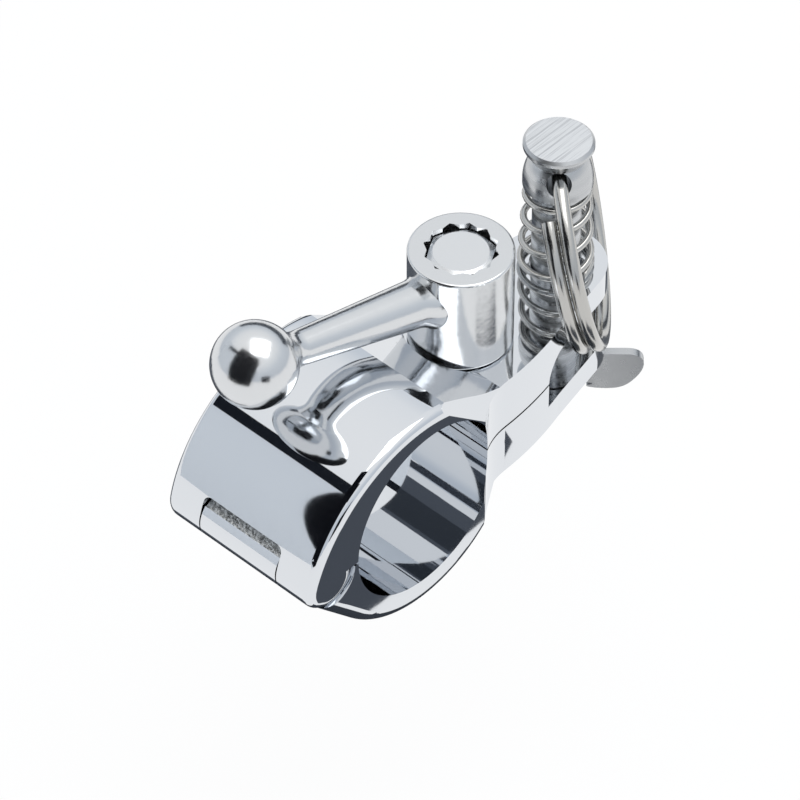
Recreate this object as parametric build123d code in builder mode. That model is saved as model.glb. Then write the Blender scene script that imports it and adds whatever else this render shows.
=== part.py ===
from build123d import *
from math import acos, asin, atan2, cos, degrees, hypot, radians, sin, sqrt, tan
import os

# Pipe clamp, all sizes in millimetres.
# Frame: X runs along the clamped tube, Y runs from the tube to the release pin, Z is up.
# The origin lies on the tube's axis, in the middle of the collar.

# Collar
bore_radius = 12.5
half_length = 12.4
seam_half_gap = 0.15
crown_centre_y = -1.6
crown_centre_z = -4.3
crown_end_inset = 8.4
ramp_foot_inset = 1.5
ramp_foot_drop = 2.1
ramp_end_offset = 3.3
belly_wall = 4.3
rim_round = 1.3
belly_round = 2.0

# Front hinge
hinge_offset = 4.7
hinge_z = -0.2
knuckle_radius = 3.85
centre_knuckle_half = 6.4
knuckle_side_gap = 0.2
recess_clearance = 0.25
notch_clearance = 0.35
notch_top_z = 4.1
notch_depth = 10.0
notch_corner = 1.0
hinge_pin_radius = 1.5
hinge_pin_half = 10.4
hinge_pin_chamfer = 0.2
hinge_pin_clearance = 0.04
hinge_pin_end_gap = 0.2
band_angle = 62.0
band_width = 2.6
band_depth = 0.4

# Arm and ears
ear_top_z = 8.0
slot_half = 4.0
slot_offset = 6.95
slot_round = 4.0
flank_half = 9.95
flank_start_inset = 2.0
flank_full_offset = 4.5
flank_mid_offset = 9.45
flank_mid_half = 8.5
boss_radius = 6.7
shoulder_slope = 42.3
shoulder_inset = 2.4
shoulder_drop = 4.65
shoulder_run = 4.8

# Clamp screw
screw_offset = 6.85
spot_radius = 7.25
head_flats = 8.0
head_height = 3.5
head_recess = 0.4
head_face_radius = 3.55
head_bevel = 30.0
shoulder_radius = 3.2
shank_radius = 2.45
shank_chamfer = 0.5
shank_end_z = -6.6
screw_seat_gap = 0.04
top_screw_hole_radius = 2.53
tapped_hole_radius = 2.62
tapped_hole_end_z = -7.0

# Lever
hub_radius = 6.75
hub_bottom_z = 8.2
hub_top_z = 22.85
hub_round = 0.35
socket_flats = 8.3
counterbore_radius = 4.85
counterbore_bottom_z = 10.2
flange_bore_radius = 3.26
arm_root_z = 16.4
ball_x = -3.65
ball_reach = 32.85
ball_z = 24.15
ball_radius = 5.5
arm_root_radius = 3.1
arm_root_run = 1.6
arm_end_radius = 2.25
arm_end_run = 1.5
arm_flare = 0.8
arm_sink = 0.9

# Lever spring, round the screw's shoulder
lever_spring_radius = 4.1
lever_spring_wire = 0.45
lever_spring_turns = 3.0
spring_seat_gap = 0.02

# Release pin
pin_spacing = 18.0
pin_radius = 3.175
pin_foot_z = -13.0
pin_foot_chamfer = 0.6
pin_head_radius = 4.55
pin_head_side_z = 28.25
pin_head_top_z = 29.1
pin_head_chamfer = 0.35
bead_radius = 4.5
bead_bottom_z = 21.7
bead_shoulder_z = 22.8
bead_chamfer = 0.3
waist_radius = 3.45
waist_z = 26.4
cross_hole_radius = 1.6
cross_hole_z = 24.9
lower_bore_clearance = 0.1
upper_bore_clearance = 0.2
view_angle = 43.0

# Nose at the foot of the pin
nose_pivot_z = -11.25
nose_thickness = 1.2
fork_gap = 1.4
nose_end_radius = 3.1
fork_top_z = -7.9
nose_flat_end = 9.5
nose_reach = 11.9
rivet_radius = 0.9
rivet_half = 3.1
rivet_hole_clearance = 0.04

# Pin spring
pin_spring_wire = 0.45
pin_spring_top_radius = 4.0
pin_spring_low_radius = 4.65
pin_spring_turns = 3.6

# Split ring
ring_mean_radius = 13.6
ring_wire_radius = 0.97
ring_turns = 1.8
ring_pitch = 2.05
ring_tilt = 11.6
ring_rise = 0.3

# How far a cutting shape reaches past a face that it just clears
sliver = 0.01

# Values worked out from the sizes above
hinge_y = -(bore_radius + hinge_offset)
crown_end_y = bore_radius - crown_end_inset
ramp_foot_y = bore_radius - ramp_foot_inset
ramp_foot_z = bore_radius - ramp_foot_drop
ramp_end_y = bore_radius + ramp_end_offset
belly_radius = bore_radius + belly_wall
flank_start_y = bore_radius - flank_start_inset
flank_full_y = bore_radius + flank_full_offset
shoulder_y = bore_radius - shoulder_inset
shoulder_z = bore_radius - shoulder_drop
screw_y = bore_radius + screw_offset
slot_end_y = screw_y + slot_offset
flank_mid_y = screw_y + flank_mid_offset
pin_y = screw_y + pin_spacing
ball_y = screw_y - ball_reach
# Farther than any face lies from the rail's axis, so that cutting shapes pass right through
reach = pin_y + half_length
head_top_z = hub_top_z - head_recess
head_bottom_z = head_top_z - head_height
bevel_drop = (head_flats - head_face_radius) * tan(radians(head_bevel))
ring_hang = ring_mean_radius - ring_rise
ray = hypot(hinge_y - crown_centre_y, hinge_z - crown_centre_z)
crown_radius = ray + knuckle_radius
join_y = hinge_y + knuckle_radius * (hinge_y - crown_centre_y) / ray
join_z = hinge_z + knuckle_radius * (hinge_z - crown_centre_z) / ray
crown_end_z = crown_centre_z + sqrt(crown_radius**2 - (crown_end_y - crown_centre_y)**2)
join_turn = atan2(join_z - crown_centre_z, join_y - crown_centre_y)
crown_turn = atan2(crown_end_z - crown_centre_z, crown_end_y - crown_centre_y)
mid_turn = (join_turn + crown_turn) / 2
crown_mid = (
    crown_centre_y + crown_radius * cos(mid_turn),
    crown_centre_z + crown_radius * sin(mid_turn),
)
belly_turn = atan2(hinge_z, hinge_y) + acos((belly_radius - knuckle_radius) / hypot(hinge_y, hinge_z))
belly_start = (belly_radius * cos(belly_turn), belly_radius * sin(belly_turn))
knuckle_start = (
    hinge_y + knuckle_radius * cos(belly_turn),
    hinge_z + knuckle_radius * sin(belly_turn),
)
belly_end_y = sqrt(belly_radius**2 - ear_top_z**2)
boss_end_y = pin_y + boss_radius
past_boss_y = boss_end_y + boss_radius
outer_knuckle_inner = centre_knuckle_half + knuckle_side_gap
outer_knuckle_length = half_length - outer_knuckle_inner
blind_hole_half = hinge_pin_half + hinge_pin_end_gap
front_y = hinge_y - 2 * knuckle_radius
far_y = hinge_y + reach * (hinge_y - crown_centre_y) / ray
far_z = hinge_z + reach * (hinge_z - crown_centre_z) / ray
point_span = hypot(flank_mid_half, pin_y - flank_mid_y)
touch_turn = atan2(pin_y - flank_mid_y, -flank_mid_half) - asin(boss_radius / point_span)
touch_length = sqrt(point_span**2 - boss_radius**2)
touch = (
    flank_mid_half + touch_length * cos(touch_turn),
    flank_mid_y + touch_length * sin(touch_turn),
)
cross_dir = (sin(radians(view_angle)), -cos(radians(view_angle)), 0)
side_dir = (cos(radians(view_angle)), sin(radians(view_angle)), 0)


# Outline of collar, arm and boss seen from above, used by both jaws
with BuildSketch(Plane.XY) as outline:
    with BuildLine():
        Line((0, front_y), (half_length, front_y))
        Line((half_length, front_y), (half_length, flank_start_y))
        TangentArc((flank_half, flank_full_y), (half_length, flank_start_y), tangent=(0, -1))
        TangentArc((flank_half, flank_full_y), (flank_mid_half, flank_mid_y), tangent=(0, 1))
        Line((flank_mid_half, flank_mid_y), touch)
        TangentArc(touch, (0, boss_end_y), tangent=(cos(touch_turn), sin(touch_turn)))
        Line((0, boss_end_y), (0, front_y))
    make_face()
    mirror(about=Plane.YZ)

# Side shape of the top jaw behind its crown: ramp, ear and slot
with BuildSketch(Plane.YZ) as arm_side:
    with BuildLine():
        Line((crown_end_y, seam_half_gap), (crown_end_y, crown_end_z))
        Line((crown_end_y, crown_end_z), (ramp_foot_y, ramp_foot_z))
        TangentArc(
            (ramp_foot_y, ramp_foot_z),
            (ramp_end_y, ear_top_z),
            tangent=(ramp_foot_y - crown_end_y, ramp_foot_z - crown_end_z),
        )
        Line((ramp_end_y, ear_top_z), (past_boss_y, ear_top_z))
        Line((past_boss_y, ear_top_z), (past_boss_y, slot_half))
        Line((past_boss_y, slot_half), (slot_end_y + slot_round, slot_half))
        TangentArc(
            (slot_end_y + slot_round, slot_half),
            (slot_end_y, seam_half_gap),
            tangent=(-1, 0),
        )
        Line((slot_end_y, seam_half_gap), (crown_end_y, seam_half_gap))
    make_face()

# Side shape that keeps the part of the crown disc in front of the ramp
with BuildSketch(Plane.YZ) as crown_side:
    with BuildLine():
        Polyline(
            (hinge_y, seam_half_gap),
            (hinge_y, hinge_z),
            (far_y, far_z),
            (far_y, reach),
            (crown_end_y, reach),
            (crown_end_y, seam_half_gap),
            close=True,
        )
    make_face()

# Top jaw
shoulder_plane = Plane(
    origin=(0, shoulder_y, shoulder_z),
    x_dir=(1, 0, 0),
    z_dir=(0, -cos(radians(shoulder_slope)), sin(radians(shoulder_slope))),
)
with BuildPart() as outer_knuckle:
    with BuildSketch(Plane.YZ.offset(outer_knuckle_inner)) as knuckle_disc:
        with Locations((hinge_y, hinge_z)):
            Circle(knuckle_radius)
    extrude(knuckle_disc.sketch, amount=outer_knuckle_length)
    fillet(outer_knuckle.edges().group_by(Axis.X)[-1], rim_round)
with BuildPart() as top_jaw:
    with Locations((0, crown_centre_y, crown_centre_z)):
        Cylinder(crown_radius, 2 * half_length, rotation=(0, 90, 0))
    fillet(top_jaw.edges().filter_by(GeomType.CIRCLE), rim_round)
    add(extrude(crown_side.sketch, amount=reach, both=True, mode=Mode.PRIVATE), mode=Mode.INTERSECT)
    add(extrude(arm_side.sketch, amount=half_length, both=True, mode=Mode.PRIVATE))
    add(outer_knuckle.part)
    add(mirror(outer_knuckle.part, about=Plane.YZ, mode=Mode.PRIVATE))
    add(extrude(outline.sketch, amount=reach, both=True, mode=Mode.PRIVATE), mode=Mode.INTERSECT)
    for side in (-1, 1):
        with BuildSketch(shoulder_plane) as blend:
            with BuildLine():
                TangentArc(
                    (side * flank_half, shoulder_run),
                    (side * (half_length + sliver), 0),
                    tangent=(0, -1),
                )
                Line((side * (half_length + sliver), 0), (side * 2 * half_length, 0))
                Line((side * 2 * half_length, 0), (side * 2 * half_length, reach))
                Line((side * 2 * half_length, reach), (side * flank_half, reach))
                Line((side * flank_half, reach), (side * flank_half, shoulder_run))
            make_face()
        extrude(blend.sketch, amount=half_length, both=True, mode=Mode.SUBTRACT)
    with Locations((0, screw_y, ear_top_z + reach / 2)):
        Cylinder(spot_radius, reach, mode=Mode.SUBTRACT)
    Cylinder(bore_radius, 4 * half_length, rotation=(0, 90, 0), mode=Mode.SUBTRACT)
    with Locations((0, hinge_y, hinge_z)):
        Cylinder(
            knuckle_radius + notch_clearance,
            2 * outer_knuckle_inner,
            rotation=(0, 90, 0),
            mode=Mode.SUBTRACT,
        )
    with BuildSketch(Plane.XZ.offset(-hinge_y)) as notch:
        with Locations((0, notch_top_z - notch_depth / 2)):
            RectangleRounded(2 * outer_knuckle_inner, notch_depth, notch_corner)
    extrude(notch.sketch, amount=2 * knuckle_radius, mode=Mode.SUBTRACT)
    with Locations((0, hinge_y, hinge_z)):
        Cylinder(
            hinge_pin_radius + hinge_pin_clearance,
            2 * blind_hole_half,
            rotation=(0, 90, 0),
            mode=Mode.SUBTRACT,
        )
    with Locations((0, screw_y, 0)):
        Cylinder(top_screw_hole_radius, reach, mode=Mode.SUBTRACT)
    with Locations((0, pin_y, 0)):
        Cylinder(pin_radius + upper_bore_clearance, reach, mode=Mode.SUBTRACT)

# Side shape of the bottom jaw
with BuildSketch(Plane.YZ) as bottom_side:
    with BuildLine():
        Line((hinge_y, -seam_half_gap), knuckle_start)
        Line(knuckle_start, belly_start)
        ThreePointArc(belly_start, (0, -belly_radius), (belly_end_y, -ear_top_z))
        Line((belly_end_y, -ear_top_z), (past_boss_y, -ear_top_z))
        Line((past_boss_y, -ear_top_z), (past_boss_y, -slot_half))
        Line((past_boss_y, -slot_half), (slot_end_y, -slot_half))
        Line((slot_end_y, -slot_half), (slot_end_y, -seam_half_gap))
        Line((slot_end_y, -seam_half_gap), (hinge_y, -seam_half_gap))
    make_face()

# Bottom jaw
band_plane = Plane(
    origin=(0, hinge_y, hinge_z),
    x_dir=(1, 0, 0),
    z_dir=(0, -cos(radians(band_angle)), sin(radians(band_angle))),
)
with BuildPart() as bottom_jaw:
    add(extrude(bottom_side.sketch, amount=half_length, both=True, mode=Mode.PRIVATE))
    rims = bottom_jaw.edges().filter_by(
        lambda edge: abs(abs(edge.center().X) - half_length) < sliver
    )
    belly_rims = rims.filter_by(
        lambda edge: edge.center().Z < -knuckle_radius and edge.center().Y < ramp_foot_y
    )
    fillet(belly_rims, belly_round)
    add(extrude(outline.sketch, amount=reach, both=True, mode=Mode.PRIVATE), mode=Mode.INTERSECT)
    for side in (-1, 1):
        with Locations((side * (centre_knuckle_half + half_length), hinge_y, hinge_z)):
            Cylinder(
                knuckle_radius + recess_clearance,
                2 * half_length,
                rotation=(0, 90, 0),
                mode=Mode.SUBTRACT,
            )
    with Locations((0, hinge_y, hinge_z)):
        Cylinder(knuckle_radius, 2 * centre_knuckle_half, rotation=(0, 90, 0))
    with BuildSketch(band_plane.offset(knuckle_radius - band_depth)) as band:
        Rectangle(2 * half_length, band_width)
    extrude(band.sketch, amount=knuckle_radius, mode=Mode.SUBTRACT)
    Cylinder(bore_radius, 4 * half_length, rotation=(0, 90, 0), mode=Mode.SUBTRACT)
    with Locations((0, hinge_y, hinge_z)):
        Cylinder(hinge_pin_radius, 2 * half_length, rotation=(0, 90, 0), mode=Mode.SUBTRACT)
    with Locations((0, screw_y, (tapped_hole_end_z + ear_top_z) / 2)):
        Cylinder(tapped_hole_radius, ear_top_z - tapped_hole_end_z, mode=Mode.SUBTRACT)
    with Locations((0, pin_y, 0)):
        Cylinder(pin_radius + lower_bore_clearance, reach, mode=Mode.SUBTRACT)

# Hinge pin, pressed into the centre knuckle
with BuildPart() as hinge_pin:
    with Locations((0, hinge_y, hinge_z)):
        Cylinder(hinge_pin_radius, 2 * hinge_pin_half, rotation=(0, 90, 0))
    chamfer(hinge_pin.edges().filter_by(GeomType.CIRCLE), hinge_pin_chamfer)

# Clamp screw
with BuildPart() as clamp_screw:
    with BuildSketch(Plane.XY.offset(head_bottom_z)) as head:
        with Locations((0, screw_y)):
            RegularPolygon(head_flats / 2, 6, major_radius=False)
    extrude(head.sketch, amount=head_height)
    with BuildSketch(Plane.YZ) as cap:
        with BuildLine():
            Polyline(
                (screw_y, head_bottom_z),
                (screw_y + head_flats, head_bottom_z),
                (screw_y + head_flats, head_top_z - bevel_drop),
                (screw_y + head_face_radius, head_top_z),
                (screw_y, head_top_z),
                close=True,
            )
        make_face()
    revolve(cap.sketch, axis=Axis((0, screw_y, 0), (0, 0, 1)), mode=Mode.INTERSECT)
    with Locations((0, screw_y, (head_bottom_z + ear_top_z + screw_seat_gap) / 2)):
        Cylinder(shoulder_radius, head_bottom_z - ear_top_z - screw_seat_gap)
    with Locations((0, screw_y, (head_bottom_z + shank_end_z) / 2)):
        Cylinder(shank_radius, head_bottom_z - shank_end_z)
    tip = clamp_screw.edges().filter_by(GeomType.CIRCLE).sort_by(Axis.Z)[0]
    chamfer(tip, shank_chamfer)

# Lever: hub with twelve-point socket, arm and ball
arm_length = hypot(ball_x, ball_y - screw_y, ball_z - arm_root_z)
arm_dir = (
    ball_x / arm_length,
    (ball_y - screw_y) / arm_length,
    (ball_z - arm_root_z) / arm_length,
)
arm_plane = Plane(origin=(0, screw_y, arm_root_z), x_dir=arm_dir, z_dir=(arm_dir[1], -arm_dir[0], 0))
taper_start = hub_radius + arm_root_run
taper_end = arm_length - ball_radius - arm_end_run
taper = (taper_end - taper_start, arm_end_radius - arm_root_radius)
with BuildPart() as lever:
    with Locations((0, screw_y, (hub_bottom_z + hub_top_z) / 2)):
        Cylinder(hub_radius, hub_top_z - hub_bottom_z)
    with BuildSketch(arm_plane) as arm:
        with BuildLine():
            Line((taper_start, arm_root_radius), (taper_end, arm_end_radius))
            TangentArc(
                (taper_start, arm_root_radius),
                (hub_radius - arm_sink, arm_root_radius + arm_flare),
                tangent=(-taper[0], -taper[1]),
            )
            TangentArc(
                (taper_end, arm_end_radius),
                (arm_length - ball_radius + arm_sink, arm_end_radius + arm_flare),
                tangent=taper,
            )
            Polyline(
                (hub_radius - arm_sink, arm_root_radius + arm_flare),
                (0, arm_root_radius + arm_flare),
                (0, 0),
                (arm_length, 0),
                (arm_length, arm_end_radius + arm_flare),
                (arm_length - ball_radius + arm_sink, arm_end_radius + arm_flare),
            )
        make_face()
    revolve(arm.sketch, axis=Axis((0, screw_y, arm_root_z), arm_dir))
    with Locations((ball_x, ball_y, ball_z)):
        Sphere(ball_radius)
    rim = lever.edges().filter_by(GeomType.CIRCLE).filter_by(
        lambda edge: abs(edge.radius - hub_radius) < sliver
        and (
            abs(edge.center().Z - hub_top_z) < sliver
            or abs(edge.center().Z - hub_bottom_z) < sliver
        )
    )
    fillet(rim, hub_round)
    with BuildSketch(Plane.XY.offset(head_bottom_z)) as socket:
        with Locations((0, screw_y)):
            RegularPolygon(socket_flats / 2, 6, major_radius=False)
            RegularPolygon(socket_flats / 2, 6, major_radius=False, rotation=30)
    extrude(socket.sketch, amount=reach, mode=Mode.SUBTRACT)
    with Locations((0, screw_y, (counterbore_bottom_z + head_bottom_z) / 2)):
        Cylinder(counterbore_radius, head_bottom_z - counterbore_bottom_z, mode=Mode.SUBTRACT)
    with Locations((0, screw_y, counterbore_bottom_z)):
        Cylinder(flange_bore_radius, counterbore_bottom_z, mode=Mode.SUBTRACT)

# Lever spring
lever_coil_low = counterbore_bottom_z + lever_spring_wire + spring_seat_gap
lever_coil_high = head_bottom_z - lever_spring_wire - spring_seat_gap
lever_coil_height = lever_coil_high - lever_coil_low
with BuildPart() as lever_spring:
    with BuildLine() as coil:
        Helix(
            lever_coil_height / lever_spring_turns,
            lever_coil_height,
            lever_spring_radius,
            center=(0, screw_y, lever_coil_low),
        )
    with BuildSketch(Plane(origin=coil.line @ 0, z_dir=coil.line % 0)) as wire:
        Circle(lever_spring_wire)
    sweep(sections=wire.sketch, path=coil.line, is_frenet=True)

# Release pin, one turned piece
with BuildPart() as release_pin:
    with BuildSketch(Plane.YZ) as turned:
        with BuildLine():
            Polyline(
                (pin_y, pin_foot_z),
                (pin_y + pin_radius - pin_foot_chamfer, pin_foot_z),
                (pin_y + pin_radius, pin_foot_z + pin_foot_chamfer),
                (pin_y + pin_radius, bead_bottom_z),
                (pin_y + bead_radius - bead_chamfer, bead_bottom_z),
                (pin_y + bead_radius, bead_bottom_z + bead_chamfer),
                (pin_y + bead_radius, bead_shoulder_z),
            )
            TangentArc(
                (pin_y + bead_radius, bead_shoulder_z),
                (pin_y + waist_radius, waist_z),
                tangent=(0, 1),
            )
            Polyline(
                (pin_y + waist_radius, waist_z),
                (pin_y + pin_head_radius, pin_head_side_z),
                (pin_y + pin_head_radius, pin_head_top_z - pin_head_chamfer),
                (pin_y + pin_head_radius - pin_head_chamfer, pin_head_top_z),
                (pin_y, pin_head_top_z),
                (pin_y, pin_foot_z),
            )
        make_face()
    revolve(turned.sketch, axis=Axis((0, pin_y, 0), (0, 0, 1)))
    with BuildSketch(Plane(origin=(0, pin_y, cross_hole_z), z_dir=cross_dir)) as cross:
        Circle(cross_hole_radius)
    extrude(cross.sketch, amount=2 * bead_radius, both=True, mode=Mode.SUBTRACT)
    with BuildSketch(Plane(origin=(0, pin_y, 0), x_dir=(0, 0, 1), z_dir=side_dir)) as fork:
        with Locations((pin_foot_z, 0)):
            Rectangle(2 * (fork_top_z - pin_foot_z), fork_gap)
    extrude(fork.sketch, amount=2 * pin_radius, both=True, mode=Mode.SUBTRACT)
    with BuildSketch(Plane(origin=(0, pin_y, nose_pivot_z), z_dir=cross_dir)) as rivet_hole:
        Circle(rivet_radius)
    extrude(rivet_hole.sketch, amount=2 * pin_radius, both=True, mode=Mode.SUBTRACT)

# Nose, the plate that swings at the pin's foot
nose_plane = Plane(
    origin=(0, pin_y, nose_pivot_z),
    x_dir=side_dir,
    z_dir=cross_dir,
)
with BuildPart() as pin_nose:
    with BuildSketch(nose_plane) as plate:
        with BuildLine():
            Line((0, nose_end_radius), (nose_flat_end, nose_end_radius))
            Spline(
                (nose_flat_end, nose_end_radius),
                (nose_reach, 1.2),
                (10.6, -1.6),
                (7.5, -3.15),
                (4.6, -2.6),
                (2.4, -1.95),
                tangents=((1, 0), (-1, 0.05)),
            )
            Line((2.4, -1.95), (0, 0))
            Line((0, 0), (0, nose_end_radius))
        make_face()
        Circle(nose_end_radius)
    extrude(plate.sketch, amount=nose_thickness / 2, both=True)
    with BuildSketch(nose_plane) as eye:
        Circle(rivet_radius + rivet_hole_clearance)
    extrude(eye.sketch, amount=nose_thickness, both=True, mode=Mode.SUBTRACT)

# Nose rivet, pressed into the pin's fork
with BuildPart() as nose_rivet:
    with BuildSketch(nose_plane) as rivet:
        Circle(rivet_radius)
    extrude(rivet.sketch, amount=rivet_half, both=True)

# Pin spring, slightly conical
coil_low = ear_top_z + pin_spring_wire + spring_seat_gap
coil_high = bead_bottom_z - pin_spring_wire - spring_seat_gap
coil_height = coil_high - coil_low
coil_cone = degrees(atan2(pin_spring_low_radius - pin_spring_top_radius, coil_height))
with BuildPart() as pin_spring:
    with BuildLine() as long_coil:
        Helix(
            coil_height / pin_spring_turns,
            coil_height,
            pin_spring_top_radius,
            center=(0, pin_y, coil_high),
            direction=(0, 0, -1),
            cone_angle=coil_cone,
        )
    with BuildSketch(Plane(origin=long_coil.line @ 0, z_dir=long_coil.line % 0)) as thick:
        Circle(pin_spring_wire)
    sweep(sections=thick.sketch, path=long_coil.line, is_frenet=True)

# Split ring through the cross hole, hanging into the slot between the ears
hang_dir = (
    sin(radians(ring_tilt)) * side_dir[0],
    sin(radians(ring_tilt)) * side_dir[1],
    -cos(radians(ring_tilt)),
)
ring_normal = (
    cos(radians(ring_tilt)) * side_dir[0],
    cos(radians(ring_tilt)) * side_dir[1],
    sin(radians(ring_tilt)),
)
ring_height = ring_pitch * ring_turns
ring_plane = Plane(
    origin=(hang_dir[0] * ring_hang, pin_y + hang_dir[1] * ring_hang, cross_hole_z + hang_dir[2] * ring_hang),
    x_dir=(-hang_dir[0], -hang_dir[1], -hang_dir[2]),
    z_dir=ring_normal,
)
ring_place = ring_plane.location * Location((0, 0, 0), (0, 0, -180 * ring_turns))
with BuildPart() as flat_ring:
    with BuildLine() as loop:
        Helix(ring_pitch, ring_height, ring_mean_radius, center=(0, 0, -ring_height / 2))
    with BuildSketch(Plane(origin=loop.line @ 0, z_dir=loop.line % 0)) as ring_wire:
        Circle(ring_wire_radius)
    sweep(sections=ring_wire.sketch, path=loop.line, is_frenet=True)
with BuildPart() as split_ring:
    with Locations(ring_place):
        add(flat_ring.part)

bottom_jaw.part.label = "bottom_jaw"
top_jaw.part.label = "top_jaw"
hinge_pin.part.label = "hinge_pin"
clamp_screw.part.label = "clamp_screw"
lever.part.label = "lever"
lever_spring.part.label = "lever_spring"
release_pin.part.label = "release_pin"
pin_nose.part.label = "pin_nose"
nose_rivet.part.label = "nose_rivet"
pin_spring.part.label = "pin_spring"
split_ring.part.label = "split_ring"

os.makedirs("parts", exist_ok=True)
export_step(bottom_jaw.part, "parts/bottom_jaw.step")
export_step(top_jaw.part, "parts/top_jaw.step")
export_step(hinge_pin.part, "parts/hinge_pin.step")
export_step(clamp_screw.part, "parts/clamp_screw.step")
export_step(lever.part, "parts/lever.step")
export_step(lever_spring.part, "parts/lever_spring.step")
export_step(release_pin.part, "parts/release_pin.step")
export_step(pin_nose.part, "parts/pin_nose.step")
export_step(nose_rivet.part, "parts/nose_rivet.step")
export_step(pin_spring.part, "parts/pin_spring.step")
export_step(split_ring.part, "parts/split_ring.step")
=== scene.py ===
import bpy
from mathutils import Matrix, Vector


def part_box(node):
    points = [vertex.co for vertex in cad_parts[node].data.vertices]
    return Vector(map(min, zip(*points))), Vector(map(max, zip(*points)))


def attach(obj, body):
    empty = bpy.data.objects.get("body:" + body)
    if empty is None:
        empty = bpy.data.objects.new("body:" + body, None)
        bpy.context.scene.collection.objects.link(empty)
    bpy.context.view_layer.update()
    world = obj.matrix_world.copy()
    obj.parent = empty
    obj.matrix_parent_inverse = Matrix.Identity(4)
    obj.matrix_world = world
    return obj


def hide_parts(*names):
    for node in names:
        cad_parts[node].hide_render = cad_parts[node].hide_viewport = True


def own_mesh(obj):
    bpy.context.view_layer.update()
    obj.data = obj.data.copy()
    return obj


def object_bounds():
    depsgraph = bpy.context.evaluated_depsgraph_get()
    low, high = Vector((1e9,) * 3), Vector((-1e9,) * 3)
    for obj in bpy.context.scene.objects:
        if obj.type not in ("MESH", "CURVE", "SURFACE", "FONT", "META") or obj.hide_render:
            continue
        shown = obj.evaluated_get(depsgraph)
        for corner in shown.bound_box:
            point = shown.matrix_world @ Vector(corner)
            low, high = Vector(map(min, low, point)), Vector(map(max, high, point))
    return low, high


bl_info = {
    "name": "Hinged Pipe Clamp",
    "version": (1, 0, 0),
    "blender": (4, 5, 0),
    "location": "View3D > Sidebar > Pipe Clamp",
    "description": "Dresses a hinged stainless pipe clamp, its lever, pin, springs and split ring",
    "category": "Add Mesh",
}

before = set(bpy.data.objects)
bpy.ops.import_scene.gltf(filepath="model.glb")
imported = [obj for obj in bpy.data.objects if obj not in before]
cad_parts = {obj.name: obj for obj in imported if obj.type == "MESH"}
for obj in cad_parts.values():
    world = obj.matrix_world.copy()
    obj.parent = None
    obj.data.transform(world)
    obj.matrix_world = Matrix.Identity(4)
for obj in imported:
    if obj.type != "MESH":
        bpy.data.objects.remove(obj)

from math import cos, pi, radians, sin

import bmesh
import bpy
from mathutils import Matrix, Vector

MM = 0.001

# Places read from the frame, in metres
CAD_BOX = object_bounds()
PIN_LOW, PIN_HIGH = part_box("release_pin")
SCREW_LOW, SCREW_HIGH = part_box("clamp_screw")
PIN_SPRING_LOW, PIN_SPRING_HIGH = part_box("pin_spring")
LEVER_SPRING_LOW, LEVER_SPRING_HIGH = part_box("lever_spring")
PIN_Y = (PIN_LOW.y + PIN_HIGH.y) / 2
SCREW_Y = (SCREW_LOW.y + SCREW_HIGH.y) / 2

# The knuckle's band faces forwards and up, and lies in front of BAND_BACK_Y
BAND_RISE = radians(62.0)
BAND_BACK_Y = -16.0 * MM
# Cosine above which a face counts as facing the band's way
SAME_WAY = 0.999

# Faces this close to the top of the release pin are its head's brushed top
HEAD_SKIN = 0.02 * MM

# Shape of a coil spring
WIRE_SIDES = 12
STEPS_PER_TURN = 40
# Turns at each end that lie closed, and the part of a turn over which the coil then opens
CLOSED_TURNS = 0.75
OPENING_TURNS = 0.25
# Pitch of the closed turns, in radii of the wire
CLOSED_PITCH = 2.1
# How much narrower the release pin's spring is at its upper end
PIN_SPRING_TAPER = 0.6 * MM

# Edges sharper than this are rounded, in this many steps
EDGE_ANGLE = radians(30.0)
EDGE_STEPS = 2

# The studio, in metres: the point between collar and boss that it is built round
MIDDLE = (0.0, 0.01, 0.005)
FLOOR_HALF = 30.0
LAMP_PLACE = (0.1, 0.1, 0.6)
LAMP_SIDE = 0.5
# Reflection cards: name, place, the point they face, width, height, colour
CARDS = (
    ("card_camera", (0.239, -0.246, 0.362), MIDDLE, 0.14, 0.12, "#17181C"),
    ("card_near", (0.0095, -0.085, 0.064), MIDDLE, 0.106, 0.15, "#131418"),
    ("card_right", (0.46, -0.175, 0.048), MIDDLE, 0.18, 0.13, "#24262B"),
    ("card_high", (-0.22, -0.335, 0.495), MIDDLE, 0.80, 0.08, "#1C1F25"),
    ("card_front", (-0.40, -0.560, 0.200), MIDDLE, 1.10, 0.90, "#E4E7EA"),
    ("card_back", (-0.25, 0.548, 0.119), MIDDLE, 0.90, 0.18, "#44484F"),
    # The three floor cards are painted shade: dark sheets on the paper under the clamp, seen only
    # in reflections, standing in for the shadow that the paper's white hides there
    ("floor_shade_card_front", (-0.020, 0.012, -0.058), (-0.020, 0.012, 1.0), 0.10, 0.07, "#3A3E44"),
    ("floor_shade_card_right", (0.060, 0.030, -0.058), (0.060, 0.030, 1.0), 0.036, 0.060, "#4A4E55"),
    ("floor_shade_card_back", (-0.082, 0.075, -0.060), (-0.082, 0.075, 1.0), 0.15, 0.22, "#555960"),
)
# Walls of the light tent, from straight down to straight up
WALLS = ((0.0, "#C4CAD2"), (0.5, "#CED4DC"), (0.7, "#DCE2E9"), (0.82, "#F6F8FA"), (1.0, "#FFFFFF"))


def linear(hex_colour):
    """Turns an sRGB hex colour into the linear colour that shaders take."""
    parts = [int(hex_colour[i : i + 2], 16) / 255 for i in (1, 3, 5)]
    return [p / 12.92 if p <= 0.04045 else ((p + 0.055) / 1.055) ** 2.4 for p in parts] + [1.0]


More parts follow.
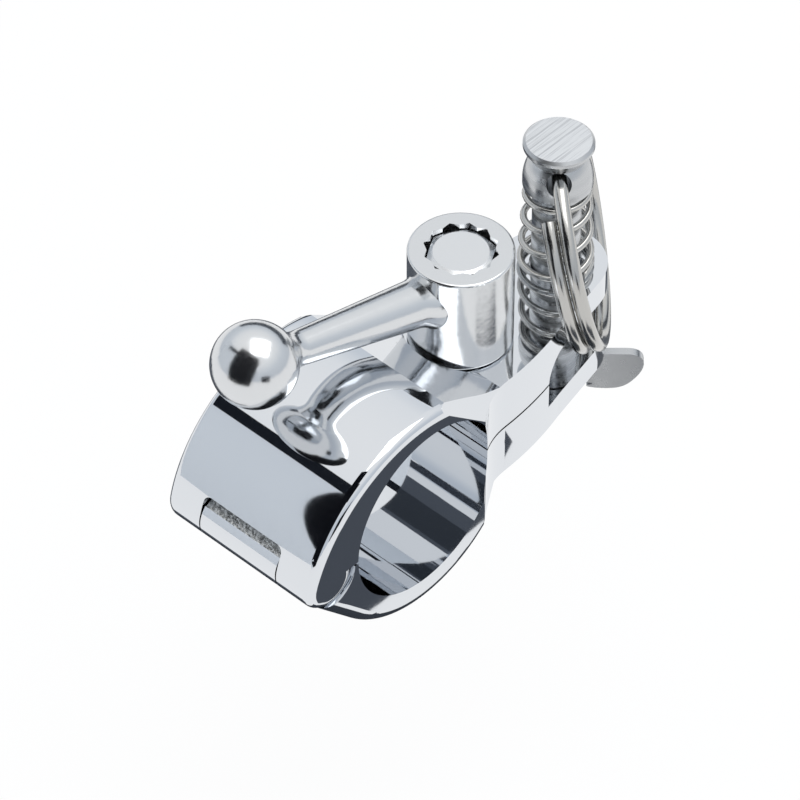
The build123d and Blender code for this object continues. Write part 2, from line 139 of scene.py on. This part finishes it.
class ClampSizes(bpy.types.PropertyGroup):
    """Sizes of the details that Blender adds to the clamp."""

    jaw_edge: bpy.props.FloatProperty(
        name="Jaw Edge",
        description="Width of the edges that polishing rounds off on the jaws",
        default=0.35 * MM,
        min=0.0,
        max=1.0 * MM,
        unit="LENGTH",
    )
    turned_edge: bpy.props.FloatProperty(
        name="Turned Edge",
        description="Width of the rounded edges of the release pin, its nose and the lever",
        default=0.15 * MM,
        min=0.0,
        max=0.5 * MM,
        unit="LENGTH",
    )
    spring_wire: bpy.props.FloatProperty(
        name="Spring Wire",
        description="Radius of the wire of both springs",
        default=0.45 * MM,
        min=0.2 * MM,
        max=0.5 * MM,
        unit="LENGTH",
    )
    pin_spring_turns: bpy.props.FloatProperty(
        name="Pin Spring Turns",
        description="Turns of the release pin's spring, its closed end turns included",
        default=4.6,
        min=3.0,
        max=8.0,
    )
    lever_spring_turns: bpy.props.FloatProperty(
        name="Lever Spring Turns",
        description="Turns of the lever's spring, its closed end turns included",
        default=3.6,
        min=3.0,
        max=6.0,
    )


class ClampFinishes(bpy.types.PropertyGroup):
    """Colours and polish of the clamp's metals."""

    jaw_colour: bpy.props.FloatVectorProperty(
        name="Jaw Colour",
        description="Colour of the mirror-polished jaws",
        default=linear("#DDE0E4"),
        size=4,
        min=0.0,
        max=1.0,
        subtype="COLOR",
    )
    mirror_roughness: bpy.props.FloatProperty(
        name="Jaw Roughness",
        description="How much the mirror-polished jaws blur what they reflect",
        default=0.03,
        min=0.0,
        max=1.0,
        subtype="FACTOR",
    )
    lever_colour: bpy.props.FloatVectorProperty(
        name="Lever Colour",
        description="Colour of the polished lever",
        default=linear("#DADCDE"),
        size=4,
        min=0.0,
        max=1.0,
        subtype="COLOR",
    )
    lever_roughness: bpy.props.FloatProperty(
        name="Lever Roughness",
        description="How much the polished lever blurs what it reflects",
        default=0.16,
        min=0.0,
        max=1.0,
        subtype="FACTOR",
    )
    turned_colour: bpy.props.FloatVectorProperty(
        name="Turned Colour",
        description="Colour of the turned pins and the rivet",
        default=linear("#C3C5C7"),
        size=4,
        min=0.0,
        max=1.0,
        subtype="COLOR",
    )
    screw_colour: bpy.props.FloatVectorProperty(
        name="Screw Colour",
        description="Colour of the screw, a little brighter",
        default=linear("#DCDEE0"),
        size=4,
        min=0.0,
        max=1.0,
        subtype="COLOR",
    )
    nose_colour: bpy.props.FloatVectorProperty(
        name="Nose Colour",
        description="Colour of the pressed nose",
        default=linear("#C4C6C8"),
        size=4,
        min=0.0,
        max=1.0,
        subtype="COLOR",
    )
    turned_roughness: bpy.props.FloatProperty(
        name="Turned Roughness",
        description="How much the pins, the screw and the nose blur what they reflect",
        default=0.26,
        min=0.0,
        max=1.0,
        subtype="FACTOR",
    )
    wire_colour: bpy.props.FloatVectorProperty(
        name="Wire Colour",
        description="Colour of the springs and the split ring",
        default=linear("#C0BFBC"),
        size=4,
        min=0.0,
        max=1.0,
        subtype="COLOR",
    )
    wire_roughness: bpy.props.FloatProperty(
        name="Wire Roughness",
        description="How much the bright wire blurs what it reflects",
        default=0.17,
        min=0.0,
        max=1.0,
        subtype="FACTOR",
    )


class ClampStudio(bpy.types.PropertyGroup):
    """The camera, the floor and the lamp round the clamp."""

    azimuth: bpy.props.FloatProperty(
        name="Camera Azimuth",
        description="Turn of the camera round the clamp from the front",
        default=radians(43.0),
        subtype="ANGLE",
        unit="ROTATION",
    )
    elevation: bpy.props.FloatProperty(
        name="Camera Elevation",
        description="Height of the camera above the horizon",
        default=radians(45.5),
        subtype="ANGLE",
        unit="ROTATION",
    )
    place: bpy.props.FloatVectorProperty(
        name="Camera Place",
        description="Where the camera stands",
        default=(0.2993, -0.3127, 0.4510),
        size=3,
        subtype="XYZ",
        unit="LENGTH",
    )
    lens: bpy.props.FloatProperty(
        name="Camera Lens",
        description="Focal length on a sensor 36 mm wide",
        default=225.0,
        min=20.0,
        max=400.0,
    )
    floor_colour: bpy.props.FloatVectorProperty(
        name="Floor Colour",
        description="Colour of the paper that the clamp stands over",
        default=linear("#F4F5F6"),
        size=4,
        min=0.0,
        max=1.0,
        subtype="COLOR",
    )
    floor_drop: bpy.props.FloatProperty(
        name="Floor Drop",
        description="Distance of the floor below the clamp's lowest point",
        default=0.045,
        min=0.0,
        unit="LENGTH",
    )
    lamp_watts: bpy.props.FloatProperty(
        name="Lamp Power",
        description="Power of the large soft lamp over the clamp",
        default=1.3,
        min=0.0,
        unit="POWER",
    )


def add_node(tree, kind, links=None, **settings):
    """Adds a node, sets its inputs and attributes by name and links the given sockets to it."""
    node = tree.nodes.new(kind)
    for key, value in settings.items():
        if hasattr(node, key) and key not in node.inputs:
            setattr(node, key, value)
        else:
            node.inputs[key.replace("_", " ")].default_value = value
    for key, socket in (links or {}).items():
        tree.links.new(socket, node.inputs[key])
    return node


def new_material(name):
    """Makes a material with one shader and gives it, its node tree and the shader."""
    material = bpy.data.materials.new(name)
    material.use_nodes = True
    tree = material.node_tree
    tree.nodes.clear()
    shader = add_node(tree, "ShaderNodeBsdfPrincipled")
    add_node(tree, "ShaderNodeOutputMaterial", {"Surface": shader.outputs["BSDF"]})
    return material, tree, shader


def mirror_polished_stainless(colour, roughness):
    """Stainless casting polished to a mirror: sharp reflections that waver a little."""
    material, tree, shader = new_material("mirror_polished_stainless")
    place = add_node(tree, "ShaderNodeTexCoord")
    # Buffing by hand leaves the faces of a casting very slightly wavy, over about 5 mm
    wave = add_node(
        tree,
        "ShaderNodeTexNoise",
        {"Vector": place.outputs["Object"]},
        Scale=1 / (5.0 * MM),
        Detail=1.0,
        Roughness=0.4,
    )
    bump = add_node(
        tree,
        "ShaderNodeBump",
        {"Height": wave.outputs["Fac"]},
        Strength=0.25,
        Distance=0.02 * MM,
    )
    # Fine haze of the last polish, drawn at 0.4 mm so that it shows
    haze = add_node(
        tree,
        "ShaderNodeTexNoise",
        {"Vector": place.outputs["Object"]},
        Scale=1 / (0.4 * MM),
        Detail=2.0,
    )
    blur = add_node(
        tree,
        "ShaderNodeMapRange",
        {"Value": haze.outputs["Fac"]},
        To_Min=roughness * 0.7,
        To_Max=roughness * 1.5,
    )
    shader.inputs["Base Color"].default_value = colour
    shader.inputs["Metallic"].default_value = 1.0
    tree.links.new(blur.outputs["Result"], shader.inputs["Roughness"])
    tree.links.new(bump.outputs["Normal"], shader.inputs["Normal"])
    return material


def polished_cast_stainless(colour, roughness):
    """Small stainless casting tumbled and polished: bright, with a softly uneven skin."""
    material, tree, shader = new_material("polished_cast_stainless")
    place = add_node(tree, "ShaderNodeTexCoord")
    # The skin of the casting rises and falls over about 2 mm
    skin = add_node(
        tree,
        "ShaderNodeTexNoise",
        {"Vector": place.outputs["Object"]},
        Scale=1 / (2.0 * MM),
        Detail=3.0,
    )
    soft = add_node(
        tree,
        "ShaderNodeBump",
        {"Height": skin.outputs["Fac"]},
        Strength=0.35,
        Distance=0.06 * MM,
    )
    # Finer pits of 0.4 mm break up its shine
    pits = add_node(
        tree,
        "ShaderNodeTexNoise",
        {"Vector": place.outputs["Object"]},
        Scale=1 / (0.4 * MM),
        Detail=2.0,
    )
    fine = add_node(
        tree,
        "ShaderNodeBump",
        {"Height": pits.outputs["Fac"], "Normal": soft.outputs["Normal"]},
        Strength=0.15,
        Distance=0.01 * MM,
    )
    blur = add_node(
        tree,
        "ShaderNodeMapRange",
        {"Value": pits.outputs["Fac"]},
        To_Min=roughness * 0.6,
        To_Max=roughness * 1.6,
    )
    shader.inputs["Base Color"].default_value = colour
    shader.inputs["Metallic"].default_value = 1.0
    tree.links.new(blur.outputs["Result"], shader.inputs["Roughness"])
    tree.links.new(fine.outputs["Normal"], shader.inputs["Normal"])
    return material


def turned_stainless(name, colour, roughness):
    """Stainless bar worked on a lathe: soft rings round the part that spread its highlights."""
    material, tree, shader = new_material(name)
    place = add_node(tree, "ShaderNodeTexCoord")
    # Rings pi/2 mm apart, far coarser than the tool's feed, so that they show. The wave
    # texture runs through 20 radians in a length of one.
    ring_gap = pi / 2 * MM
    rings = add_node(
        tree,
        "ShaderNodeTexWave",
        {"Vector": place.outputs["Object"]},
        bands_direction="Z",
        Scale=2 * pi / 20 / ring_gap,
        Distortion=0.6,
        Detail=2.0,
    )
    bump = add_node(
        tree,
        "ShaderNodeBump",
        {"Height": rings.outputs["Fac"]},
        Strength=0.12,
        Distance=0.01 * MM,
    )
    blur = add_node(
        tree,
        "ShaderNodeMapRange",
        {"Value": rings.outputs["Fac"]},
        To_Min=roughness * 0.8,
        To_Max=roughness * 1.3,
    )
    shader.inputs["Base Color"].default_value = colour
    shader.inputs["Metallic"].default_value = 1.0
    tree.links.new(blur.outputs["Result"], shader.inputs["Roughness"])
    tree.links.new(bump.outputs["Normal"], shader.inputs["Normal"])
    return material


def brushed_stainless(roughness):
    """Stainless face drawn once over a belt: straight hairlines across the pin's head."""
    material, tree, shader = new_material("brushed_stainless")
    place = add_node(tree, "ShaderNodeTexCoord")
    # Hairlines about 0.12 mm wide and some 6 mm long, lying along the boss, as the belt ran
    lay = add_node(
        tree,
        "ShaderNodeMapping",
        {"Vector": place.outputs["Object"]},
        Scale=(1 / (0.12 * MM), 1 / (6.0 * MM), 1 / (0.12 * MM)),
    )
    lines = add_node(
        tree,
        "ShaderNodeTexNoise",
        {"Vector": lay.outputs["Vector"]},
        Scale=1.0,
        Detail=3.0,
    )
    bump = add_node(
        tree,
        "ShaderNodeBump",
        {"Height": lines.outputs["Fac"]},
        Strength=0.6,
        Distance=0.03 * MM,
    )
    # The belt roughens the face a little more than the lathe did
    blur = add_node(
        tree,
        "ShaderNodeMapRange",
        {"Value": lines.outputs["Fac"]},
        To_Min=roughness * 1.2 * 0.8,
        To_Max=roughness * 1.2 * 1.5,
    )
    # The hairlines catch less light than the face between them
    shade = add_node(tree, "ShaderNodeValToRGB", {"Fac": lines.outputs["Fac"]})
    hairline, face = shade.color_ramp.elements
    hairline.position, hairline.color = 0.34, linear("#BFC1C4")
    face.position, face.color = 0.52, linear("#E0E2E4")
    shader.inputs["Metallic"].default_value = 1.0
    tree.links.new(shade.outputs["Color"], shader.inputs["Base Color"])
    tree.links.new(blur.outputs["Result"], shader.inputs["Roughness"])
    tree.links.new(bump.outputs["Normal"], shader.inputs["Normal"])
    return material


def pressed_stainless(colour, roughness):
    """Stainless sheet pressed to shape and tumbled: a flat, even satin with soft reflections."""
    material, tree, shader = new_material("pressed_stainless")
    place = add_node(tree, "ShaderNodeTexCoord")
    # The tumbling leaves a haze that changes over about 1.5 mm
    haze = add_node(
        tree,
        "ShaderNodeTexNoise",
        {"Vector": place.outputs["Object"]},
        Scale=1 / (1.5 * MM),
        Detail=2.0,
    )
    bump = add_node(
        tree,
        "ShaderNodeBump",
        {"Height": haze.outputs["Fac"]},
        Strength=0.1,
        Distance=0.03 * MM,
    )
    blur = add_node(
        tree,
        "ShaderNodeMapRange",
        {"Value": haze.outputs["Fac"]},
        To_Min=roughness * 0.9,
        To_Max=roughness * 1.3,
    )
    shader.inputs["Base Color"].default_value = colour
    shader.inputs["Metallic"].default_value = 1.0
    tree.links.new(blur.outputs["Result"], shader.inputs["Roughness"])
    tree.links.new(bump.outputs["Normal"], shader.inputs["Normal"])
    return material


def drawn_spring_wire(colour, roughness):
    """Stainless spring wire, drawn bright: smooth, with faint marks that the die left."""
    material, tree, shader = new_material("drawn_spring_wire")
    place = add_node(tree, "ShaderNodeTexCoord")
    # The die's marks come and go over about 0.6 mm
    marks = add_node(
        tree,
        "ShaderNodeTexNoise",
        {"Vector": place.outputs["Object"]},
        Scale=1 / (0.6 * MM),
        Detail=2.0,
    )
    bump = add_node(
        tree,
        "ShaderNodeBump",
        {"Height": marks.outputs["Fac"]},
        Strength=0.1,
        Distance=0.01 * MM,
    )
    blur = add_node(
        tree,
        "ShaderNodeMapRange",
        {"Value": marks.outputs["Fac"]},
        To_Min=roughness * 0.7,
        To_Max=roughness * 1.4,
    )
    shader.inputs["Base Color"].default_value = colour
    shader.inputs["Metallic"].default_value = 1.0
    tree.links.new(blur.outputs["Result"], shader.inputs["Roughness"])
    tree.links.new(bump.outputs["Normal"], shader.inputs["Normal"])
    return material


def as_cast_stainless():
    """Floor of the knuckle's band, left unpolished: the grey, pebbled skin of the casting, with
    painted shade in its hollows.
    """
    material, tree, shader = new_material("as_cast_stainless")
    place = add_node(tree, "ShaderNodeTexCoord")
    # Pebbles about 0.45 mm across
    pebbles = add_node(
        tree,
        "ShaderNodeTexNoise",
        {"Vector": place.outputs["Object"]},
        Scale=1 / (0.45 * MM),
        Detail=3.0,
    )
    bump = add_node(
        tree,
        "ShaderNodeBump",
        {"Height": pebbles.outputs["Fac"]},
        Strength=1.0,
        Distance=0.22 * MM,
    )
    # Painted shade: the hollows between the pebbles are coloured darker than the pebbles
    shade = add_node(tree, "ShaderNodeValToRGB", {"Fac": pebbles.outputs["Fac"]})
    shaded_hollow, pebble = shade.color_ramp.elements
    shaded_hollow.position, shaded_hollow.color = 0.36, linear("#8A8C8C")
    pebble.position, pebble.color = 0.56, linear("#DADCDC")
    shader.inputs["Metallic"].default_value = 1.0
    shader.inputs["Roughness"].default_value = 0.3
    tree.links.new(shade.outputs["Color"], shader.inputs["Base Color"])
    tree.links.new(bump.outputs["Normal"], shader.inputs["Normal"])
    return material


def white_paper(colour):
    """Matt studio paper: plain white to the eye and in reflections, with a faint soft shadow."""
    material, tree, shader = new_material("white_paper")
    shader.inputs["Base Color"].default_value = colour
    shader.inputs["Roughness"].default_value = 0.9
    # Its own white makes up 0.9 of what is seen, and the lit paper the rest
    white = add_node(tree, "ShaderNodeEmission", Color=(1.0, 1.0, 1.0, 1.0), Strength=1.0)
    share = add_node(tree, "ShaderNodeMath", {0: seen_directly(tree)}, operation="MULTIPLY")
    share.inputs[1].default_value = 0.9
    mix = add_node(
        tree,
        "ShaderNodeMixShader",
        {0: share.outputs["Value"], 1: shader.outputs["BSDF"], 2: white.outputs["Emission"]},
    )
    tree.links.new(mix.outputs["Shader"], tree.get_output_node("ALL").inputs["Surface"])
    return material


def seen_directly(tree):
    """One where the camera, a reflection or a view through glass meets the surface, else zero."""
    path = add_node(tree, "ShaderNodeLightPath")
    opaque = add_node(
        tree,
        "ShaderNodeMath",
        {0: path.outputs["Is Camera Ray"], 1: path.outputs["Is Glossy Ray"]},
        operation="MAXIMUM",
    )
    seen = add_node(
        tree,
        "ShaderNodeMath",
        {0: opaque.outputs["Value"], 1: path.outputs["Is Transmission Ray"]},
        operation="MAXIMUM",
    )
    return seen.outputs["Value"]


def matt_card(name, colour):
    """Matt painted card without any shine of its own."""
    material, tree, shader = new_material(name)
    shader.inputs["Base Color"].default_value = colour
    shader.inputs["Roughness"].default_value = 1.0
    shader.inputs["Specular IOR Level"].default_value = 0.0
    return material


def dress(node, *materials):
    """Gives a CAD node its materials, with the first of them on every face."""
    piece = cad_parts[node]
    piece.data.materials.clear()
    for material in materials:
        piece.data.materials.append(material)
    for face in piece.data.polygons:
        face.material_index = 0
    return piece


def soften_edges(piece, width):
    """Rounds the sharp edges of a piece by a width, as polishing does."""
    bevel = piece.modifiers.new("polished_edges", "BEVEL")
    bevel.width = width
    bevel.segments = EDGE_STEPS
    bevel.limit_method = "ANGLE"
    bevel.angle_limit = EDGE_ANGLE
    bevel.use_clamp_overlap = True
    bevel.harden_normals = True


def put_in_scene(name, data):
    """Makes an object of a mesh, a lamp or a camera and links it to the scene."""
    made = bpy.data.objects.new(name, data)
    bpy.context.scene.collection.objects.link(made)
    return made


def coil(name, axis_y, low, high, radii, wire, turns):
    """Winds a compression spring on an upright axis, from low to high, with closed end turns."""
    steps = int(turns * STEPS_PER_TURN)
    # How far each step has opened, from 0 in the closed end turns to 1 in the turns between
    opening = []
    for i in range(steps):
        turn = (i + 0.5) / steps * turns
        share = min(1.0, max(0.0, (min(turn, turns - turn) - CLOSED_TURNS) / OPENING_TURNS))
        opening.append(share * share * (3 - 2 * share))
    closed_rise = CLOSED_PITCH * wire * turns
    open_rise = (high - low - 2 * wire - closed_rise) / sum(opening)

    z, path = low + wire, []
    for i in range(steps + 1):
        radius = radii[0] + (radii[1] - radii[0]) * (z - low) / (high - low)
        angle = 2 * pi * turns * i / steps
        centre = Vector((radius * cos(angle), axis_y + radius * sin(angle), z))
        path.append((centre, Vector((cos(angle), sin(angle), 0.0))))
        if i < steps:
            z += closed_rise / steps + open_rise * opening[i]

    spring = bmesh.new()
    rings = []
    for i, (centre, outward) in enumerate(path):
        ahead = (path[min(i + 1, steps)][0] - path[max(i - 1, 0)][0]).normalized()
        upward = outward.cross(ahead)
        ring = []
        for k in range(WIRE_SIDES):
            angle = 2 * pi * k / WIRE_SIDES
            aside = cos(angle) * outward + sin(angle) * upward
            ring.append(spring.verts.new(centre + wire * aside))
        rings.append(ring)
    for one, two in zip(rings, rings[1:]):
        for k in range(WIRE_SIDES):
            after = (k + 1) % WIRE_SIDES
            spring.faces.new((one[k], one[after], two[after], two[k])).smooth = True
    spring.faces.new(rings[0])
    spring.faces.new(reversed(rings[-1]))
    bmesh.ops.recalc_face_normals(spring, faces=spring.faces)
    mesh = bpy.data.meshes.new(name)
    spring.to_mesh(mesh)
    spring.free()
    return put_in_scene(name, mesh)


def squash_spring(spring, node, body, material):
    """Puts a coil in the place of a CAD spring: gives it its material, hangs it on the body that
    moves it and hides the CAD spring.
    """
    spring.data.materials.append(material)
    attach(spring, body)
    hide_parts(node)
    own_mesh(spring)


class CLAMP_OT_jaws(bpy.types.Operator):
    """Polish the two jaws to a mirror and leave the knuckle's band as cast"""

    bl_idname = "clamp.jaws"
    bl_label = "Dress Jaws"

    def execute(self, context):
        looks = context.scene.clamp_finishes
        polish = mirror_polished_stainless(looks.jaw_colour, looks.mirror_roughness)
        top = dress("top_jaw", polish)
        bottom = dress("bottom_jaw", polish, as_cast_stainless())
        band_normal = Vector((0.0, -cos(BAND_RISE), sin(BAND_RISE)))
        for face in bottom.data.polygons:
            if face.normal.dot(band_normal) > SAME_WAY and face.center.y < BAND_BACK_Y:
                face.material_index = 1
        for piece in (top, bottom):
            soften_edges(piece, context.scene.clamp_sizes.jaw_edge)
        return {"FINISHED"}


class CLAMP_OT_lever(bpy.types.Operator):
    """Give the lever the polished skin of a small casting"""

    bl_idname = "clamp.lever"
    bl_label = "Dress Lever"

    def execute(self, context):
        looks = context.scene.clamp_finishes
        skin = polished_cast_stainless(looks.lever_colour, looks.lever_roughness)
        lever = dress("lever", skin)
        soften_edges(lever, context.scene.clamp_sizes.turned_edge)
        return {"FINISHED"}


class CLAMP_OT_turned_parts(bpy.types.Operator):
    """Give the pins, the rivet, the screw and the nose their finishes"""

    bl_idname = "clamp.turned_parts"
    bl_label = "Dress Turned Parts"

    def execute(self, context):
        looks = context.scene.clamp_finishes
        blur = looks.turned_roughness
        edge = context.scene.clamp_sizes.turned_edge
        turned = turned_stainless("turned_stainless", looks.turned_colour, blur)
        dress("hinge_pin", turned)
        dress("nose_rivet", turned)
        dress("clamp_screw", turned_stainless("rolled_stainless", looks.screw_colour, blur))
        pin = dress("release_pin", turned, brushed_stainless(blur))
        for face in pin.data.polygons:
            if face.center.z > PIN_HIGH.z - HEAD_SKIN:
                face.material_index = 1
        soften_edges(pin, edge)
        nose = dress("pin_nose", pressed_stainless(looks.nose_colour, blur))
        soften_edges(nose, edge)
        return {"FINISHED"}


class CLAMP_OT_wire_parts(bpy.types.Operator):
    """Give the springs and the split ring their bright wire"""

    bl_idname = "clamp.wire_parts"
    bl_label = "Dress Wire Parts"

    def execute(self, context):
        sizes = context.scene.clamp_sizes
        looks = context.scene.clamp_finishes
        wire = drawn_spring_wire(looks.wire_colour, looks.wire_roughness)
        dress("split_ring", wire)
        wide = (PIN_SPRING_HIGH.x - PIN_SPRING_LOW.x) / 2 - sizes.spring_wire
        pin_coil = coil(
            "pin_spring_coil",
            PIN_Y,
            PIN_SPRING_LOW.z,
            PIN_SPRING_HIGH.z,
            (wide, wide - PIN_SPRING_TAPER),
            sizes.spring_wire,
            sizes.pin_spring_turns,
        )
        squash_spring(pin_coil, "pin_spring", "release_pin", wire)
        wide = (LEVER_SPRING_HIGH.x - LEVER_SPRING_LOW.x) / 2 - sizes.spring_wire
        lever_coil = coil(
            "lever_spring_coil",
            SCREW_Y,
            LEVER_SPRING_LOW.z,
            LEVER_SPRING_HIGH.z,
            (wide, wide),
            sizes.spring_wire,
            sizes.lever_spring_turns,
        )
        squash_spring(lever_coil, "lever_spring", "clamp_screw", wire)
        return {"FINISHED"}


class CLAMP_OT_studio(bpy.types.Operator):
    """Set up the camera, the pale floor, the soft lamp, the reflection cards and the walls"""

    bl_idname = "clamp.studio"
    bl_label = "Build Studio"

    def execute(self, context):
        studio = context.scene.clamp_studio
        set_camera(studio)
        set_floor(studio)
        set_lamp(studio)
        set_cards()
        set_walls()
        context.scene.view_settings.view_transform = "Standard"
        return {"FINISHED"}


def stand_at(place, across, over, out):
    """Gives the matrix of an object at a place, with its X, Y and Z along three directions."""
    return Matrix.Translation(place) @ Matrix((across, over, out)).transposed().to_4x4()


def flat_sheet(name, half_width, half_height):
    """Makes a flat rectangle round the origin, facing up."""
    x, y = half_width, half_height
    mesh = bpy.data.meshes.new(name)
    mesh.from_pydata([(-x, -y, 0), (x, -y, 0), (x, y, 0), (-x, y, 0)], [], [(0, 1, 2, 3)])
    return put_in_scene(name, mesh)


def set_camera(studio):
    """Puts up the photograph's camera, far off with a long lens."""
    data = bpy.data.cameras.new("photo_camera")
    data.sensor_width = 36.0
    data.lens = studio.lens
    data.clip_start = 0.01
    camera = put_in_scene("photo_camera", data)
    turn, rise = studio.azimuth, studio.elevation
    right = Vector((cos(turn), sin(turn), 0.0))
    ahead = Vector((-sin(turn) * cos(rise), cos(turn) * cos(rise), -sin(rise)))
    camera.matrix_world = stand_at(studio.place, right, right.cross(ahead), -ahead)
    bpy.context.scene.camera = camera


def set_floor(studio):
    """Lays a wide sheet of white paper below the clamp."""
    floor = flat_sheet("paper_floor", FLOOR_HALF, FLOOR_HALF)
    floor.location.z = CAD_BOX[0][2] - studio.floor_drop
    floor.data.materials.append(white_paper(studio.floor_colour))


def set_lamp(studio):
    """Hangs one broad soft lamp overhead; the pale walls give the rest of the light."""
    data = bpy.data.lights.new("overhead_lamp", "AREA")
    data.shape = "SQUARE"
    data.size = LAMP_SIDE
    data.energy = studio.lamp_watts
    lamp = put_in_scene("overhead_lamp", data)
    lamp.location = LAMP_PLACE
    ahead = Vector(MIDDLE) - Vector(LAMP_PLACE)
    lamp.rotation_euler = ahead.to_track_quat("-Z", "Y").to_euler()


def set_cards():
    """Stands cards out of the picture: without them polished steel in a white room has no shape.
    The cards lying on the floor are painted shade: dark sheets under the clamp that stand in for
    its shadow in the reflections.
    """
    for name, place, aim, width, height, colour in CARDS:
        card = flat_sheet(name, width / 2, height / 2)
        ahead = (Vector(aim) - Vector(place)).normalized()
        across = Vector((1.0, 0.0, 0.0))
        across = (across - ahead * across.dot(ahead)).normalized()
        card.matrix_world = stand_at(place, across, ahead.cross(across), ahead)
        card.data.materials.append(matt_card(name, linear(colour)))
        # Only the steel's reflections show them
        card.visible_camera = False
        card.visible_diffuse = False
        card.visible_shadow = False


def set_walls():
    """Puts up the walls of a light tent: white overhead, pale and bluish lower down."""
    world = bpy.data.worlds.new("studio")
    world.use_nodes = True
    tree = world.node_tree
    tree.nodes.clear()
    place = add_node(tree, "ShaderNodeTexCoord")
    split = add_node(tree, "ShaderNodeSeparateXYZ", {"Vector": place.outputs["Generated"]})
    height = add_node(tree, "ShaderNodeMapRange", {"Value": split.outputs["Z"]}, From_Min=-1.0)
    ramp = add_node(tree, "ShaderNodeValToRGB", {"Fac": height.outputs["Result"]})
    stops = ramp.color_ramp.elements
    stops[0].color = linear(WALLS[0][1])
    stops[1].color = linear(WALLS[-1][1])
    for position, colour in WALLS[1:-1]:
        stops.new(position).color = linear(colour)
    walls = add_node(tree, "ShaderNodeBackground", {"Color": ramp.outputs["Color"]}, Strength=1.0)
    add_node(tree, "ShaderNodeOutputWorld", {"Surface": walls.outputs["Background"]})
    bpy.context.scene.world = world


class CLAMP_PT_panel(bpy.types.Panel):
    """Lists the sizes, finishes, studio settings and operators of the clamp"""

    bl_idname = "CLAMP_PT_panel"
    bl_label = "Pipe Clamp"
    bl_space_type = "VIEW_3D"
    bl_region_type = "UI"
    bl_category = "Pipe Clamp"

    def draw(self, context):
        layout = self.layout
        scene = context.scene
        for group in (scene.clamp_sizes, scene.clamp_finishes, scene.clamp_studio):
            column = layout.column(align=True)
            for name in group.__annotations__:
                column.prop(group, name)
        for operator in OPERATORS:
            layout.operator(operator.bl_idname)


GROUPS = (ClampSizes, ClampFinishes, ClampStudio)
OPERATORS = (
    CLAMP_OT_jaws,
    CLAMP_OT_lever,
    CLAMP_OT_turned_parts,
    CLAMP_OT_wire_parts,
    CLAMP_OT_studio,
)


def register():
    """Registers the classes and hangs the property groups on the scene."""
    for item in GROUPS + OPERATORS + (CLAMP_PT_panel,):
        bpy.utils.register_class(item)
    bpy.types.Scene.clamp_sizes = bpy.props.PointerProperty(type=ClampSizes)
    bpy.types.Scene.clamp_finishes = bpy.props.PointerProperty(type=ClampFinishes)
    bpy.types.Scene.clamp_studio = bpy.props.PointerProperty(type=ClampStudio)


def unregister():
    """Takes the property groups and the classes away again."""
    del bpy.types.Scene.clamp_studio
    del bpy.types.Scene.clamp_finishes
    del bpy.types.Scene.clamp_sizes
    for item in reversed(GROUPS + OPERATORS + (CLAMP_PT_panel,)):
        bpy.utils.unregister_class(item)


def main():
    """Runs every operator."""
    register()
    bpy.ops.clamp.jaws()
    bpy.ops.clamp.lever()
    bpy.ops.clamp.turned_parts()
    bpy.ops.clamp.wire_parts()
    bpy.ops.clamp.studio()


if __name__ == "__main__":
    main()
